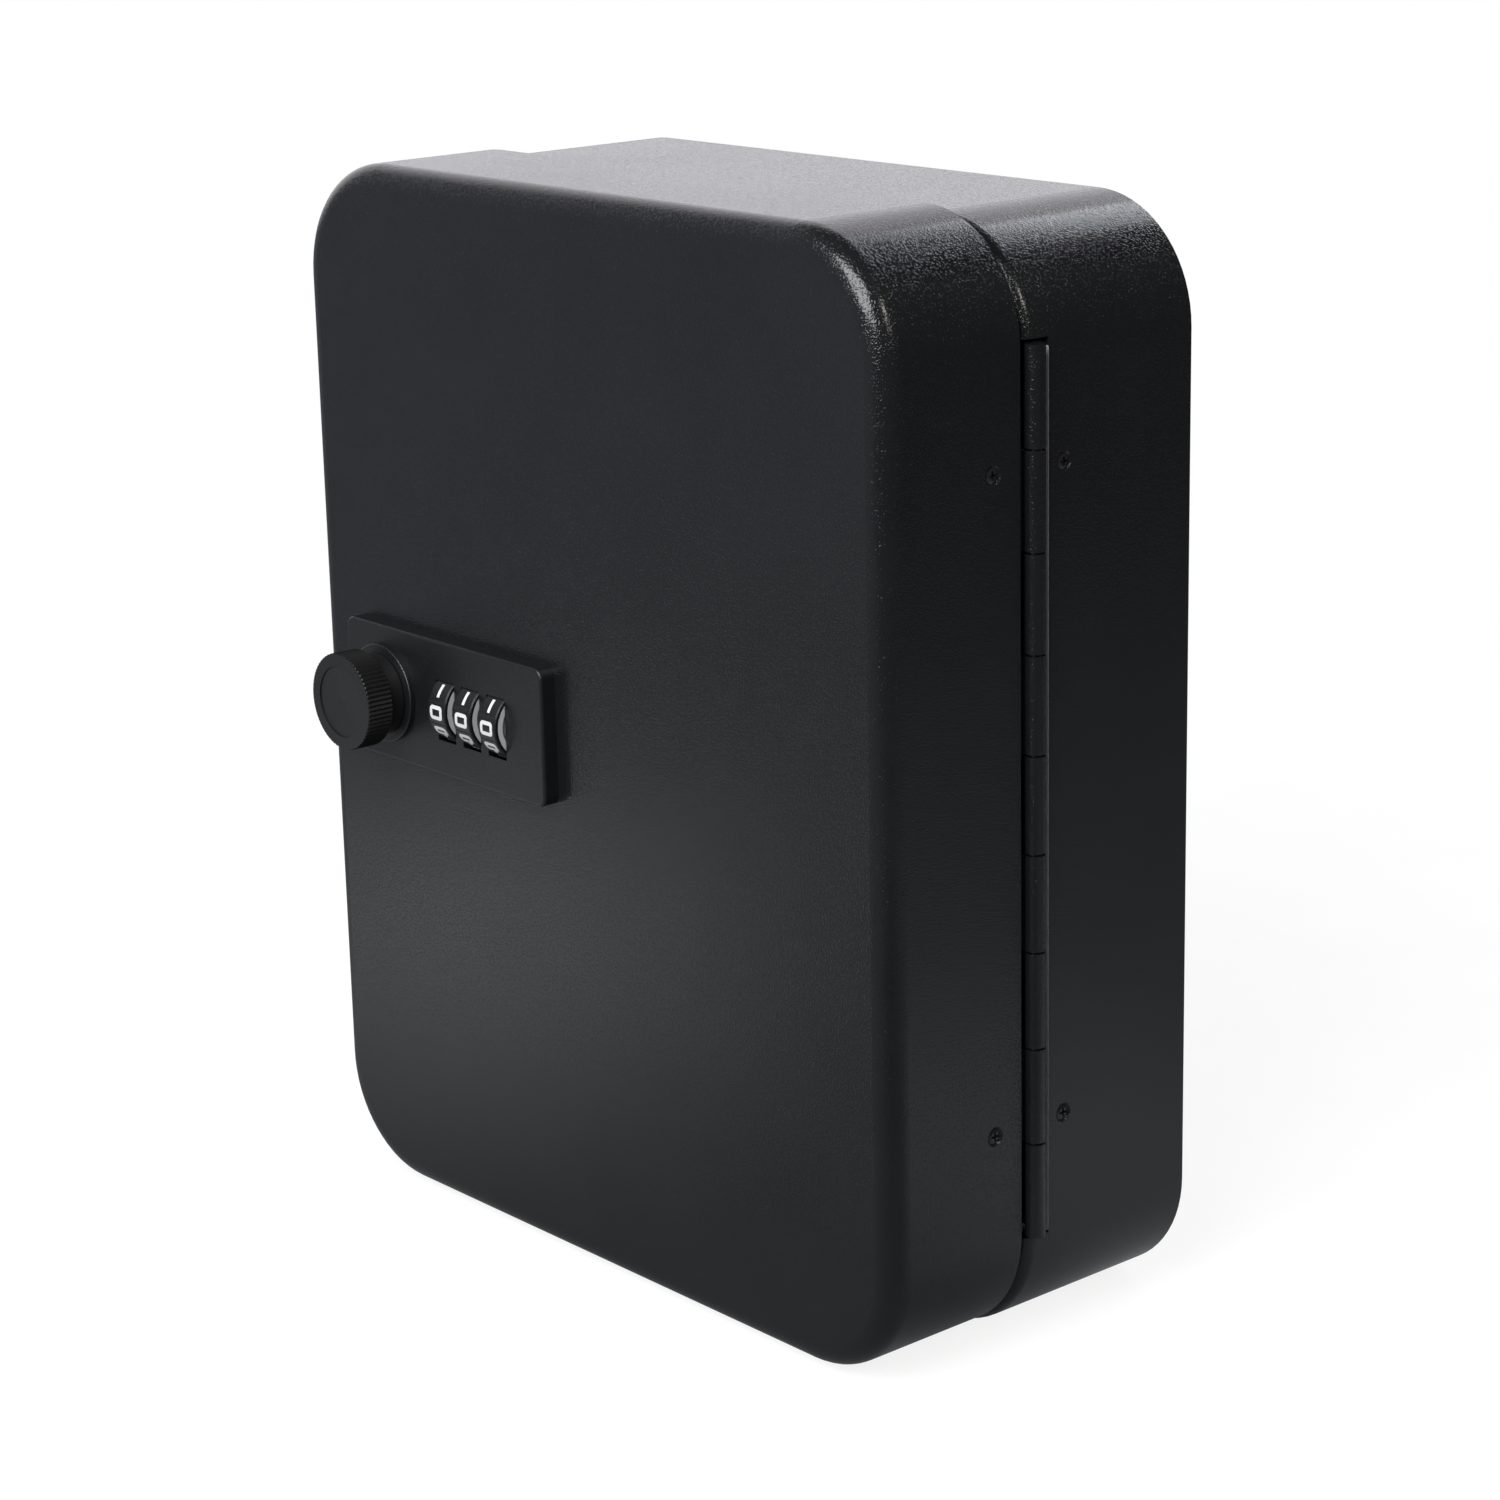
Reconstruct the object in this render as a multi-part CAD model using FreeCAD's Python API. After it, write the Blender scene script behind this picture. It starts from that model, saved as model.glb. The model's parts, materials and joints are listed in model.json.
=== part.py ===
import FreeCAD, Part
import math
import os

# Wall key cabinet with a three-wheel combination lock. Millimetres.
# +Z up, the front faces -Y, the hinge is on the +X side.
# The origin is the centre of the back face, which lies against the wall.

# How far cutters and joined pieces run past a face
overrun = 1.0

# Sheet steel body, the rear half
body_width = 200.0
body_height = 249.1
body_depth = 50.4
sheet = 1.2
corner_radius = 27.5
lip_radius = 3.4
lip_width = 11.0
panel_gap = 0.1
wall_hole_radius = 3.25
wall_hole_side_margin = 35.0
wall_hole_end_margin = 20.55

# Door, the front half
door_depth = 38.6
door_edge_radius = 5.4
door_gap = 1.0
door_top_overhang = 1.9
door_bottom_rise = 1.0

# Piano hinge
hinge_end_margin = 26.65
hinge_setback = 2.9
knuckle_count = 9
knuckle_gap = 0.5
barrel_radius = 2.3
leaf_thickness = 0.8
leaf_width = 17.0
leaf_overlap = 0.5
leaf_end_gap = 0.5
pin_clearance = 0.05
notch_clearance = 1.2
notch_rear_gap = 2.1
notch_end_gap = 0.8
hinge_screw_inset = 26.0
door_screw_offset = 11.8
case_screw_offset = 9.0
hinge_head_radius = 1.75
hinge_head_recess = 0.4
hinge_head_dome = 0.3
hinge_head_shoulder = 0.75
hinge_drive_length = 2.0
hinge_shank_radius = 1.25
nut_width = 5.0
nut_thickness = 2.0
screw_end = 0.6
fastener_clearance = 0.08

# Cross drives, screw points and rivet heads
drive_width = 0.6
drive_length = 2.7
drive_depth = 0.7
thread_relief = 0.5
screw_head_edge = 0.5
rivet_crown = 0.7
rivet_rim = 0.3

# Key rails on the back panel
rail_count = 6
hooks_per_rail = 8
rail_height = 14.0
rail_thickness = 1.0
rail_side_margin = 14.0
rail_end_margin = 39.0
hook_width = 3.4
hook_length = 13.0
hook_tilt = 30.0
rail_rivet_radius = 1.6
rail_rivet_head_radius = 2.8
rail_rivet_head_height = 1.0

# Lock plate on the door
plate_height = 32.4
plate_thickness = 4.0
plate_corner_radius = 2.5
plate_edge_radius = 0.7
plate_from_door_edge = 15.8
lock_height = 3.05
collar_radius = 11.85
collar_height = 1.5
collar_edge_radius = 0.3

# Knob, spindle and latch cam
knob_from_plate_end = 14.8
knob_radius = 11.6
knob_blank_over = 0.01
knob_cap_thickness = 6.8
knob_reach = 13.0
knob_teeth = 66
knob_tooth_depth = 0.4
knob_edge_radius = 0.5
knob_dish_radius = 8.5
knob_dish_depth = 0.7
knob_dish_step = 0.3
knob_neck_radius = 9.7
knob_collar_gap = 0.3
knob_wall = 3.0
spindle_radius = 4.0
spindle_clearance = 0.05
seat_clearance = 0.02
eccentric_wall = 0.6
eccentric_offset = 0.6
square_edge = 0.04
square_short = 0.1
cam_thickness = 2.0
cam_hub_radius = 7.0
cam_reach = 16.0
cam_arm_width = 9.0
cam_washer_radius = 5.0
cam_washer_thickness = 0.8
cam_screw_radius = 1.95
cam_screw_depth = 8.0
cam_screw_head_radius = 3.6
cam_screw_head_height = 2.4

# Number wheels
wheel_count = 3
knob_to_wheel = 23.9
wheel_to_plate_end = 17.1
wheel_radius = 8.5
wheel_width = 6.4
wheel_gap = 3.2
wheel_proud = 3.0
wheel_slot_gap = 0.6
wheel_slot_drop = 0.4
wheel_side_gap = 0.2
wheel_digits = 10
wheel_edge = 0.3
ring_wall = 1.0
groove_radius = 0.4
groove_depth = 0.15
core_rim = 1.3
core_dish_depth = 1.2
sleeve_radius = 3.9
sleeve_gap = 0.4
axle_radius = 1.5
axle_clearance = 0.05
ear_thickness = 2.0
ear_half_height = 4.5
ear_past_axle = 3.5

# Fence bar
fence_thickness = 1.8
fence_bar_height = 2.4
fence_wheel_gap = 0.7
fence_floor_gap = 0.3
fence_from_sheet = 1.9
fence_finger_width = 1.6
fence_sleeve_gap = 0.4
fence_yoke_wall = 2.4
fence_yoke_slack = 0.3
fence_eye_flat = 0.1
gate_depth = 1.4
gate_clearance = 0.15

# Lock housing and cover inside the door
housing_margin = 2.0
spring_room = 3.7
housing_wall = 1.5
housing_corner = 2.0
cover_thickness = 1.5
post_inset_x = 3.0
post_inset_z = 3.5
post_radius = 2.5
post_length = 2.8
post_clearance = 0.2
boss_wall = 1.0
lock_screw_radius = 1.25
lock_screw_grip = 3.0
lock_screw_head_radius = 2.3
lock_screw_head_height = 1.6
window_gap = 1.0
spindle_hole_gap = 2.5

# Detent spring
spring_thickness = 0.4
spring_finger_width = 3.0
spring_tip_gap = 0.2
spring_base_height = 3.0
spring_tail_gap = 1.0

# Reset slider
reset_stem = 2.0
reset_stem_height = 3.0
reset_travel = 3.5
reset_clearance = 0.2
reset_flange = 4.6
reset_flange_height = 4.6
reset_foot_thickness = 1.2
reset_tab_thickness = 2.2

# Strike bracket on the body's lip
strike_thickness = 1.2
strike_edge_gap = 0.2
strike_half_height = 6.5
strike_lip_gap = 0.5
strike_cam_gap = 0.4
strike_lip_length = 9.3
strike_rivet_radius = 1.5
strike_rivet_spread = 3.5
strike_rivet_head_radius = 2.6
strike_rivet_head_height = 1.0

# Planes and outlines that follow from the sizes above
body_right = body_width / 2
body_left = -body_right
body_top = body_height / 2
body_bottom = -body_top
body_front = -body_depth
door_rear = body_front - door_gap
door_front = door_rear - door_depth
door_inner = door_front + sheet
door_left = body_left
door_right = body_right
door_top = body_top + door_top_overhang
door_bottom = body_bottom + door_bottom_rise
panel_inner = -sheet

hinge_top = door_top - hinge_end_margin
hinge_bottom = door_bottom + hinge_end_margin
leaf_top = min(hinge_top, min(body_top, door_top) - corner_radius - leaf_end_gap)
leaf_bottom = max(hinge_bottom, max(body_bottom, door_bottom) + corner_radius + leaf_end_gap)
leaf_outer_x = body_right - sheet
leaf_inner_x = leaf_outer_x - leaf_thickness
hinge_x = leaf_inner_x + barrel_radius
hinge_y = body_front + hinge_setback
bore_radius = barrel_radius - leaf_thickness
pin_radius = bore_radius - pin_clearance
knuckle_pitch = (hinge_top - hinge_bottom) / knuckle_count
door_screw_y = hinge_y - door_screw_offset
case_screw_y = hinge_y + case_screw_offset
hinge_screw_heights = [hinge_bottom + hinge_screw_inset, hinge_top - hinge_screw_inset]
hinge_hole_radius = hinge_shank_radius + fastener_clearance

wheel_pitch = wheel_width + wheel_gap
sleeve_length = wheel_gap - 2 * sleeve_gap
plate_left = door_left + plate_from_door_edge
knob_x = plate_left + knob_from_plate_end
wheel_xs = [knob_x + knob_to_wheel + wheel_pitch * i for i in range(wheel_count)]
plate_right = wheel_xs[-1] + wheel_to_plate_end
plate_top = lock_height + plate_height / 2
plate_bottom = lock_height - plate_height / 2
plate_front = door_front - plate_thickness
collar_front = plate_front - collar_height
knob_front = plate_front - knob_reach
wheel_y = plate_front - wheel_proud + wheel_radius
core_radius = wheel_radius - ring_wall
sleeve_mid = wheel_width / 2 + wheel_gap / 2
eccentric_radius = spindle_radius + eccentric_offset + eccentric_wall
cam_square = math.sqrt(2) * (spindle_radius - square_edge)

fence_front = door_inner + fence_from_sheet
fence_rear = fence_front + fence_thickness
fence_top = lock_height - wheel_radius - fence_wheel_gap
fence_bottom = fence_top - fence_bar_height
finger_offset = fence_front - wheel_y
finger_top = lock_height - math.sqrt((sleeve_radius + fence_sleeve_gap) ** 2 - finger_offset ** 2)

housing_left = plate_left + housing_margin
housing_right = plate_right - housing_margin
housing_bottom = fence_bottom - eccentric_offset - fence_floor_gap - housing_wall
housing_top = 2 * lock_height - housing_bottom
cover_front = wheel_y + wheel_radius + spring_room
cover_rear = cover_front + cover_thickness
post_xs = [housing_left + post_inset_x, housing_right - post_inset_x]
post_zs = [housing_bottom + post_inset_z, housing_top - post_inset_z]
post_end = door_inner + post_length
post_spots = [(x, z) for x in post_xs for z in post_zs]
lock_hole_radius = lock_screw_radius + fastener_clearance

ear_left = wheel_xs[0] - wheel_width / 2 - sleeve_gap - ear_thickness
ear_right = wheel_xs[-1] + sleeve_mid + sleeve_length / 2 + sleeve_gap
strike_left = body_left + lip_width + strike_edge_gap
strike_tab_left = body_left + lip_radius + strike_edge_gap
strike_lip_front = cover_rear + strike_lip_gap
strike_lip_rear = strike_lip_front + strike_thickness
cam_front = strike_lip_rear + strike_cam_gap
cam_rear = cam_front + cam_thickness
washer_rear = cam_rear + cam_washer_thickness
reset_x = (ear_right + ear_thickness + housing_right - housing_wall) / 2
reset_low = lock_height - reset_travel / 2


def vec(x, y, z):
    return FreeCAD.Vector(x, y, z)


def block(x0, x1, y0, y1, z0, z1):
    return Part.makeBox(x1 - x0, y1 - y0, z1 - z0, vec(x0, y0, z0))


def rod_x(x0, x1, y, z, radius):
    return Part.makeCylinder(radius, x1 - x0, vec(x0, y, z), vec(1, 0, 0))


def rod_y(y0, y1, x, z, radius):
    return Part.makeCylinder(radius, y1 - y0, vec(x, y0, z), vec(0, 1, 0))


def rod_z(z0, z1, x, y, radius):
    return Part.makeCylinder(radius, z1 - z0, vec(x, y, z0), vec(0, 0, 1))


def slab(x0, x1, z0, z1, radius, y0, y1):
    """Rounded rectangle in the XZ plane, drawn out along Y."""
    bend = radius * (1 - math.sqrt(0.5))
    corners = [
        (vec(x1 - radius, y0, z0), vec(x1 - bend, y0, z0 + bend), vec(x1, y0, z0 + radius)),
        (vec(x1, y0, z1 - radius), vec(x1 - bend, y0, z1 - bend), vec(x1 - radius, y0, z1)),
        (vec(x0 + radius, y0, z1), vec(x0 + bend, y0, z1 - bend), vec(x0, y0, z1 - radius)),
        (vec(x0, y0, z0 + radius), vec(x0 + bend, y0, z0 + bend), vec(x0 + radius, y0, z0)),
    ]
    edges = []
    for i in range(4):
        start, middle, end = corners[i]
        edges.append(Part.Arc(start, middle, end).toShape())
        edges.append(Part.makeLine(end, corners[(i + 1) % 4][0]))
    return Part.Face(Part.Wire(edges)).extrude(vec(0, y1 - y0, 0))


def polygon(points, draw):
    return Part.Face(Part.makePolygon(points + [points[0]])).extrude(draw)


def turned_y(profile, x, z):
    """Solid of revolution about a Y axis, from (radius, y) points."""
    points = [vec(x + radius, y, z) for radius, y in profile]
    face = Part.Face(Part.makePolygon(points + [points[0]]))
    return face.revolve(vec(x, 0, z), vec(0, 1, 0), 360)


def turned_x(profile, y, z):
    """Solid of revolution about an X axis, from (x, radius) points."""
    points = [vec(x, y, z + radius) for x, radius in profile]
    face = Part.Face(Part.makePolygon(points + [points[0]]))
    return face.revolve(vec(0, y, z), vec(1, 0, 0), 360)


def round_front(solid, y, radius):
    """Round every edge that lies in the plane at this y."""
    flat = [e for e in solid.Edges if abs(e.BoundBox.YMin - y) < 1e-4 and abs(e.BoundBox.YMax - y) < 1e-4]
    return solid.makeFillet(radius, flat)


def tray(left, right, bottom, top, front, rear, edge_radius):
    """Sheet tray, open to the rear, with rounded corners and front edge."""
    outer = slab(left, right, bottom, top, corner_radius, front, rear)
    outer = round_front(outer, front, edge_radius)
    inner = slab(left + sheet, right - sheet, bottom + sheet, top - sheet, corner_radius - sheet,
                 front + sheet, rear + sheet)
    inner = round_front(inner, front + sheet, edge_radius - sheet)
    return outer.cut(inner)


def countersink(y, z):
    """Cutter for a hinge screw in the right-hand side wall."""
    seat = body_right - hinge_head_recess
    grow = hinge_head_radius + fastener_clearance
    reach = hinge_head_recess + overrun
    neck = seat - (hinge_head_radius - hinge_shank_radius)
    inside = leaf_inner_x - overrun
    profile = [
        (inside, 0),
        (inside, hinge_hole_radius),
        (neck, hinge_hole_radius),
        (seat, grow),
        (seat + reach, grow + reach),
        (seat + reach, 0),
    ]
    return turned_x(profile, y, z)


def hinge_screw(y, z):
    seat = body_right - hinge_head_recess
    neck = seat - (hinge_head_radius - hinge_shank_radius)
    end = leaf_inner_x - nut_thickness - screw_end
    top = seat + hinge_head_dome
    profile = [
        (end, 0),
        (end, hinge_shank_radius),
        (neck, hinge_shank_radius),
        (seat, hinge_head_radius),
        (top, hinge_head_radius - hinge_head_shoulder),
        (top, 0),
    ]
    screw = turned_x(profile, y, z)
    half = drive_width / 2
    arm = hinge_drive_length / 2
    floor = top - drive_depth
    upright = block(floor, top + overrun, y - half, y + half, z - arm, z + arm)
    level = block(floor, top + overrun, y - arm, y + arm, z - half, z + half)
    return screw.cut(upright.fuse(level))


def hinge_nut(y, z):
    corner = nut_width / math.sqrt(3)
    start = leaf_inner_x - nut_thickness
    points = []
    for i in range(6):
        turn = math.radians(60 * i)
        points.append(vec(start, y + corner * math.cos(turn), z + corner * math.sin(turn)))
    nut = polygon(points, vec(nut_thickness, 0, 0))
    return nut.cut(rod_x(start - overrun, leaf_inner_x + overrun, y, z, hinge_hole_radius))


def hinge_leaf(side, first_knuckle, screw_y):
    """Flat leaf with rolled knuckles. side is +1 for the case's leaf and -1 for the door's."""
    root = hinge_y + side * (barrel_radius + knuckle_gap)
    end = hinge_y + side * leaf_width
    leaf = block(leaf_inner_x, leaf_outer_x, min(root, end), max(root, end), leaf_bottom, leaf_top)
    inset = barrel_radius - leaf_thickness
    meet = math.sqrt(barrel_radius ** 2 - inset ** 2)
    turn = math.pi - (2 * math.pi - math.acos(inset / barrel_radius)) / 2
    knuckles = []
    for i in range(first_knuckle, knuckle_count, 2):
        start = hinge_bottom + knuckle_pitch * i
        z0 = start + (knuckle_gap / 2 if i > 0 else 0)
        z1 = start + knuckle_pitch - (knuckle_gap / 2 if i < knuckle_count - 1 else 0)
        tangent = vec(leaf_inner_x, hinge_y, z0)
        far_x = hinge_x + barrel_radius * math.cos(turn)
        far_y = hinge_y - side * barrel_radius * math.sin(turn)
        far = vec(far_x, far_y, z0)
        seam = vec(leaf_outer_x, hinge_y + side * meet, z0)
        outer_end = vec(leaf_outer_x, root + side * leaf_overlap, z0)
        inner_end = vec(leaf_inner_x, root + side * leaf_overlap, z0)
        outline = Part.Wire([
            Part.Arc(tangent, far, seam).toShape(),
            Part.makeLine(seam, outer_end),
            Part.makeLine(outer_end, inner_end),
            Part.makeLine(inner_end, tangent),
        ])
        roll = Part.Face(outline).extrude(vec(0, 0, z1 - z0))
        knuckles.append(roll.cut(rod_z(z0 - overrun, z1 + overrun, hinge_x, hinge_y, bore_radius)))
    leaf = leaf.fuse(knuckles)
    holes = [rod_x(leaf_inner_x - overrun, leaf_outer_x + overrun, screw_y, z, hinge_hole_radius)
             for z in hinge_screw_heights]
    return leaf.cut(holes)


def make_body_shell():
    shell = tray(body_left, body_right, body_bottom, body_top, body_front, 0, lip_radius)
    mouth = slab(body_left + lip_width, body_right - lip_width,
                 body_bottom + lip_width, body_top - lip_width,
                 corner_radius - lip_width, body_front - overrun, body_front + sheet + overrun)
    notch = block(leaf_inner_x - notch_clearance, body_right + overrun, body_front - overrun,
                  hinge_y + barrel_radius + notch_rear_gap, hinge_bottom - notch_end_gap,
                  hinge_top + notch_end_gap)
    hole_radius = strike_rivet_radius + fastener_clearance
    rivet_holes = [rod_y(body_front - overrun, body_front + sheet + overrun, x, z, hole_radius)
                   for x, z in strike_rivet_spots()]
    screw_holes = [countersink(case_screw_y, z) for z in hinge_screw_heights]
    return shell.cut([mouth, notch] + rivet_holes + screw_holes)


def make_back_panel():
    inset = sheet + panel_gap
    panel = slab(body_left + inset, body_right - inset, body_bottom + inset, body_top - inset,
                 corner_radius - inset, panel_inner, 0)
    holes = []
    for x in (body_left + wall_hole_side_margin, body_right - wall_hole_side_margin):
        for z in (body_bottom + wall_hole_end_margin, body_top - wall_hole_end_margin):
            holes.append(rod_y(panel_inner - overrun, overrun, x, z, wall_hole_radius))
    for x, z in rail_rivet_spots():
        holes.append(rod_y(panel_inner - overrun, overrun, x, z, rail_rivet_radius + fastener_clearance))
    return panel.cut(holes)


def rail_heights():
    step = (body_height - 2 * rail_end_margin) / (rail_count - 1)
    return [body_top - rail_end_margin - step * i for i in range(rail_count)]


def hook_pitch():
    return (body_width - 2 * rail_side_margin) / hooks_per_rail


def rail_rivet_spots():
    spread = hook_pitch() * (hooks_per_rail / 2 - 1)
    return [(x, z + rail_height / 6) for z in rail_heights() for x in (-spread, spread)]


def make_hook_rail(height):
    rail_left = body_left + rail_side_margin
    rail_right = body_right - rail_side_margin
    rail_front = panel_inner - rail_thickness
    low = height - rail_height / 2
    strip = block(rail_left, rail_right, rail_front, panel_inner, low, low + rail_height)
    tilt = math.radians(hook_tilt)
    forward = -math.cos(tilt)
    upward = math.sin(tilt)
    root_y = panel_inner - rail_thickness / 2
    hooks = []
    for i in range(hooks_per_rail):
        x = rail_left + hook_pitch() * (i + 0.5) - hook_width / 2
        points = [
            vec(x, root_y, low),
            vec(x, root_y + forward * hook_length, low + upward * hook_length),
            vec(x, root_y + forward * hook_length + upward * rail_thickness,
                low + upward * hook_length - forward * rail_thickness),
            vec(x, root_y + upward * rail_thickness, low - forward * rail_thickness),
        ]
        hooks.append(polygon(points, vec(hook_width, 0, 0)))
    hole_radius = rail_rivet_radius + fastener_clearance
    holes = [rod_y(rail_front - overrun, panel_inner + overrun, x, z, hole_radius)
             for x, z in rail_rivet_spots() if abs(z - height) < rail_height]
    return strip.fuse(hooks).cut(holes)


def make_rail_rivets():
    seat = panel_inner - rail_thickness
    top = seat - rail_rivet_head_height
    profile = [
        (0, top),
        (rail_rivet_head_radius * rivet_crown, top),
        (rail_rivet_head_radius, seat - rail_rivet_head_height * rivet_rim),
        (rail_rivet_head_radius, seat),
        (rail_rivet_radius, seat),
        (rail_rivet_radius, 0),
        (0, 0),
    ]
    return Part.makeCompound([turned_y(profile, x, z) for x, z in rail_rivet_spots()])


def strike_rivet_spots():
    x = (strike_tab_left + strike_left) / 2
    return [(x, lock_height - strike_rivet_spread), (x, lock_height + strike_rivet_spread)]


def make_strike():
    right = strike_left + strike_thickness
    tab_front = body_front + sheet
    tab_rear = tab_front + strike_thickness
    low, high = lock_height - strike_half_height, lock_height + strike_half_height
    points = [
        vec(strike_tab_left, tab_front, low),
        vec(strike_tab_left, tab_rear, low),
        vec(right, tab_rear, low),
        vec(right, strike_lip_rear, low),
        vec(strike_left + strike_lip_length, strike_lip_rear, low),
        vec(strike_left + strike_lip_length, strike_lip_front, low),
        vec(strike_left, strike_lip_front, low),
        vec(strike_left, tab_front, low),
    ]
    strike = polygon(points, vec(0, 0, high - low))
    holes = [rod_y(tab_front - overrun, tab_rear + overrun, x, z, strike_rivet_radius + fastener_clearance)
             for x, z in strike_rivet_spots()]
    return strike.cut(holes)


def make_strike_rivets():
    seat = body_front + sheet + strike_thickness
    top = seat + strike_rivet_head_height
    profile = [
        (0, body_front),
        (strike_rivet_radius, body_front),
        (strike_rivet_radius, seat),
        (strike_rivet_head_radius, seat),
        (strike_rivet_head_radius, seat + strike_rivet_head_height * rivet_rim),
        (strike_rivet_head_radius * rivet_crown, top),
        (0, top),
    ]
    return Part.makeCompound([turned_y(profile, x, z) for x, z in strike_rivet_spots()])


def make_door_shell():
    shell = tray(door_left, door_right, door_bottom, door_top, door_front, door_rear, door_edge_radius)
    half_height = wheel_radius + window_gap
    before = door_front - overrun
    behind = door_inner + overrun
    window = block(ear_left - window_gap, ear_right + ear_thickness + window_gap, before, behind,
                   lock_height - half_height, lock_height + half_height)
    spindle_hole = rod_y(before, behind, knob_x, lock_height, spindle_radius + spindle_hole_gap)
    post_holes = [rod_y(before, behind, x, z, post_radius + post_clearance) for x, z in post_spots]
    screw_holes = [countersink(door_screw_y, z) for z in hinge_screw_heights]
    return shell.cut([window, spindle_hole] + post_holes + screw_holes)


def make_lock_plate():
    plate = slab(plate_left, plate_right, plate_bottom, plate_top, plate_corner_radius,
                 plate_front, door_front)
    plate = round_front(plate, plate_front, plate_edge_radius)
    collar = rod_y(collar_front, plate_front + overrun, knob_x, lock_height, collar_radius)
    collar = round_front(collar, collar_front, collar_edge_radius)
    added = [collar]
    for x in (ear_left, ear_right):
        added.append(block(x, x + ear_thickness, door_front - overrun, wheel_y + ear_past_axle,
                           lock_height - ear_half_height, lock_height + ear_half_height))
    for x, z in post_spots:
        added.append(rod_y(door_front - overrun, post_end, x, z, post_radius))
    plate = plate.fuse(added)
    slot_half = wheel_width / 2 + wheel_side_gap
    slot_radius = wheel_radius + wheel_slot_gap
    slot_height = lock_height - wheel_slot_drop
    cuts = [rod_x(x - slot_half, x + slot_half, wheel_y, slot_height, slot_radius) for x in wheel_xs]
    cuts.append(rod_x(ear_left + ear_thickness, ear_right, wheel_y, lock_height,
                      sleeve_radius + sleeve_gap))
    cuts.append(rod_x(ear_left - overrun, ear_right + ear_thickness + overrun, wheel_y, lock_height,
                      axle_radius + seat_clearance))
    bearing_radius = spindle_radius + spindle_clearance
    cuts.append(rod_y(collar_front - overrun, door_front + overrun, knob_x, lock_height, bearing_radius))
    for x, z in post_spots:
        cuts.append(rod_y(post_end - lock_screw_grip, post_end + overrun, x, z, lock_hole_radius))
    return plate.cut(cuts)


def make_lock_housing():
    outer = slab(housing_left, housing_right, housing_bottom, housing_top, housing_corner,
                 door_inner, cover_front)
    inner = slab(housing_left + housing_wall, housing_right - housing_wall, housing_bottom + housing_wall,
                 housing_top - housing_wall, housing_corner - housing_wall, door_inner - overrun,
                 cover_front + overrun)
    boss_radius = post_radius + post_clearance + boss_wall
    bosses = [rod_y(door_inner, cover_front, x, z, boss_radius) for x, z in post_spots]
    housing = outer.cut(inner).fuse(bosses).common(outer)
    cuts = []
    for x, z in post_spots:
        cuts.append(rod_y(door_inner - overrun, post_end + post_clearance, x, z,
                          post_radius + post_clearance))
        cuts.append(rod_y(door_inner - overrun, cover_front + overrun, x, z, lock_hole_radius))
    return housing.cut(cuts)


def make_lock_cover():
    cover = slab(housing_left, housing_right, housing_bottom, housing_top, housing_corner,
                 cover_front, cover_rear)
    half = reset_stem / 2 + reset_clearance
    slot_low = reset_low - reset_stem_height / 2 - reset_clearance
    slot_high = reset_low + reset_travel + reset_stem_height / 2 + reset_clearance
    cuts = [block(reset_x - half, reset_x + half, cover_front - overrun, cover_rear + overrun,
                  slot_low, slot_high)]
    bearing_radius = spindle_radius + spindle_clearance
    cuts.append(rod_y(cover_front - overrun, cover_rear + overrun, knob_x, lock_height, bearing_radius))
    for x, z in post_spots:
        cuts.append(rod_y(cover_front - overrun, cover_rear + overrun, x, z, lock_hole_radius))
    return cover.cut(cuts)


def make_lock_screws():
    start = post_end - lock_screw_grip + thread_relief
    top = cover_rear + lock_screw_head_height
    half = drive_width / 2
    arm = drive_length / 2
    screws = []
    for x, z in post_spots:
        profile = [
            (0, start),
            (lock_screw_radius, start),
            (lock_screw_radius, cover_rear),
            (lock_screw_head_radius, cover_rear),
            (lock_screw_head_radius, top - screw_head_edge),
            (lock_screw_head_radius - screw_head_edge, top),
            (0, top),
        ]
        upright = block(x - half, x + half, top - drive_depth, top + overrun, z - arm, z + arm)
        level = block(x - arm, x + arm, top - drive_depth, top + overrun, z - half, z + half)
        screws.append(turned_y(profile, x, z).cut(upright.fuse(level)))
    return Part.makeCompound(screws)


def make_number_ring(x):
    half = wheel_width / 2
    profile = [
        (x - half, core_radius + seat_clearance),
        (x - half, wheel_radius - wheel_edge),
        (x - half + wheel_edge, wheel_radius),
        (x + half - wheel_edge, wheel_radius),
        (x + half, wheel_radius - wheel_edge),
        (x + half, core_radius + seat_clearance),
    ]
    ring = turned_x(profile, wheel_y, lock_height)
    grooves = []
    reach = wheel_radius + groove_radius - groove_depth
    for i in range(wheel_digits):
        turn = 2 * math.pi * (i + 0.5) / wheel_digits
        y = wheel_y + reach * math.cos(turn)
        z = lock_height + reach * math.sin(turn)
        grooves.append(rod_x(x - half - overrun, x + half + overrun, y, z, groove_radius))
    return ring.cut(grooves)


def make_code_core(x):
    half = wheel_width / 2
    core = rod_x(x - half, x + half, wheel_y, lock_height, core_radius)
    dish = rod_x(x + half - core_dish_depth, x + half + overrun, wheel_y, lock_height, core_radius - core_rim)
    sleeve_end = x + sleeve_mid + sleeve_length / 2
    sleeve = rod_x(x, sleeve_end, wheel_y, lock_height, sleeve_radius)
    bore = rod_x(x - half - overrun, sleeve_end + overrun, wheel_y, lock_height,
                 axle_radius + axle_clearance)
    gate = block(x + half + gate_clearance, sleeve_end + overrun, fence_front - gate_clearance,
                 fence_rear + gate_clearance, finger_top - overrun, finger_top + gate_depth)
    return core.cut(dish).fuse(sleeve).cut([bore, gate])


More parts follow.
